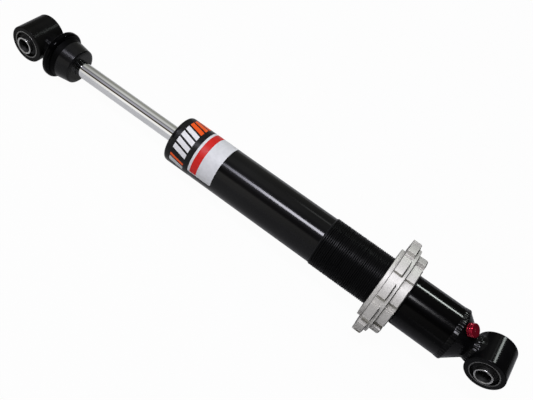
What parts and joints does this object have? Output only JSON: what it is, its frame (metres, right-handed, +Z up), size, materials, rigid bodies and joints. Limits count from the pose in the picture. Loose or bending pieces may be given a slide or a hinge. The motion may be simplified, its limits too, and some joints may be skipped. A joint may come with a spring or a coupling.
{
  "type": "gas shock absorber",
  "caption": "Gas-charged shock absorber with rubber-bushed eyes, chromed rod, bump stop and threaded spring seat and lock rings on a black tube.",
  "frame": {"origin": "centre of the rod eye's bore, with the shock fully extended", "axes": "+X along the shock from the rod eye to the body eye, Y along both eye bolts, +Z up"},
  "size_m": [0.4538, 0.077, 0.077],
  "materials": {
    "black_paint": "gloss black enamel",
    "black_tube": "gloss black",
    "weld_black": "painted weld bead",
    "rod_chrome": "hard chrome, ground",
    "zinc_steel": "bright zinc plated",
    "steel": "machined",
    "ring_aluminium": "satin, light grey",
    "inner_aluminium": "machined",
    "bush_rubber": "matt black",
    "bump_rubber": "satin black",
    "seal_rubber": "matt black",
    "glide_plastic": "filled fluoropolymer",
    "bronze": "bronze lined",
    "valve_brass": "plain",
    "cap_red": "red anodised"
  },
  "bodies": {
    "shock_body": {"body_tube": "black_tube", "body_end": "black_paint", "body_eye": "black_paint", "body_eye_weld": "weld_black", "tube_end_weld": "weld_black", "body_bush_shell": "zinc_steel", "body_bush_rubber": "bush_rubber", "seal_head": "inner_aluminium", "guide_bush": "bronze", "rod_wiper": "seal_rubber", "rod_seal": "seal_rubber", "seal_head_ring": "seal_rubber", "retaining_clip": "steel", "valve_stem": "valve_brass"},
    "piston_band": {"piston_band": "glide_plastic"},
    "rod_assembly": {"piston_rod": "rod_chrome", "rod_end_boss": "black_paint", "rod_eye": "black_paint", "rod_eye_weld": "weld_black", "rod_bush_shell": "zinc_steel", "rod_bush_rubber": "bush_rubber", "bump_stop_cup": "black_paint", "bump_stop": "bump_rubber", "top_out_bumper": "seal_rubber", "top_out_spacer": "inner_aluminium", "shim_washers": "steel", "rebound_shims": "steel", "compression_shims": "steel", "piston": "inner_aluminium", "piston_nut": "steel"},
    "floating_piston": {"floating_piston": "inner_aluminium", "floating_piston_ring": "seal_rubber", "floating_piston_band": "glide_plastic", "bleed_screw": "steel"},
    "spring_seat_ring": {"spring_seat_ring": "ring_aluminium"},
    "lock_ring": {"lock_ring": "ring_aluminium"},
    "valve_cap": {"valve_cap": "cap_red"},
    "valve_pin": {"valve_pin": "valve_brass"},
    "rod_eye_sleeve": {"rod_eye_sleeve": "zinc_steel"},
    "body_eye_sleeve": {"body_eye_sleeve": "zinc_steel"}
  },
  "joints": [
    {"name": "rod_slide", "type": "slide", "parent": "shock_body", "child": "piston_band", "axis": [1, 0, 0], "range_m": [0, 0.1], "stiffness_N_per_m": 30, "springref_m": -0.2},
    {"name": "rod_turn", "type": "hinge", "parent": "piston_band", "child": "rod_assembly", "pos_m": [0.2, 0, 0], "axis": [1, 0, 0], "continuous": true},
    {"name": "floating_piston_slide", "type": "slide", "parent": "shock_body", "child": "floating_piston", "axis": [1, 0, 0], "range_m": [0, 0.014]},
    {"name": "preload_adjust", "type": "slide", "parent": "shock_body", "child": "spring_seat_ring", "axis": [-1, 0, 0], "range_m": [0, 0.045]},
    {"name": "lock_ring_adjust", "type": "slide", "parent": "shock_body", "child": "lock_ring", "axis": [-1, 0, 0], "range_m": [0, 0.045]},
    {"name": "valve_cap_off", "type": "slide", "parent": "shock_body", "child": "valve_cap", "axis": [0.6311, -0.1347, 0.7639], "range_m": [0, 0.008]},
    {"name": "valve_pin_press", "type": "slide", "parent": "shock_body", "child": "valve_pin", "axis": [-0.6311, 0.1347, -0.7639], "range_m": [0, 0.001], "stiffness_N_per_m": 200, "springref_m": -0.001},
    {"name": "rod_eye_twist", "type": "hinge", "parent": "rod_assembly", "child": "rod_eye_sleeve", "pos_m": [0, 0, 0], "axis": [0, 1, 0], "range_deg": [-15, 15], "stiffness_Nm_per_rad": 2},
    {"name": "body_eye_twist", "type": "hinge", "parent": "shock_body", "child": "body_eye_sleeve", "pos_m": [0.424, 0, 0], "axis": [0, 1, 0], "range_deg": [-15, 15], "stiffness_Nm_per_rad": 2}
  ],
  "couplings": [
    {"joint": "floating_piston_slide", "follows": "rod_slide", "ratio": 0.13952},
    {"joint": "lock_ring_adjust", "follows": "preload_adjust", "ratio": 1}
  ]
}
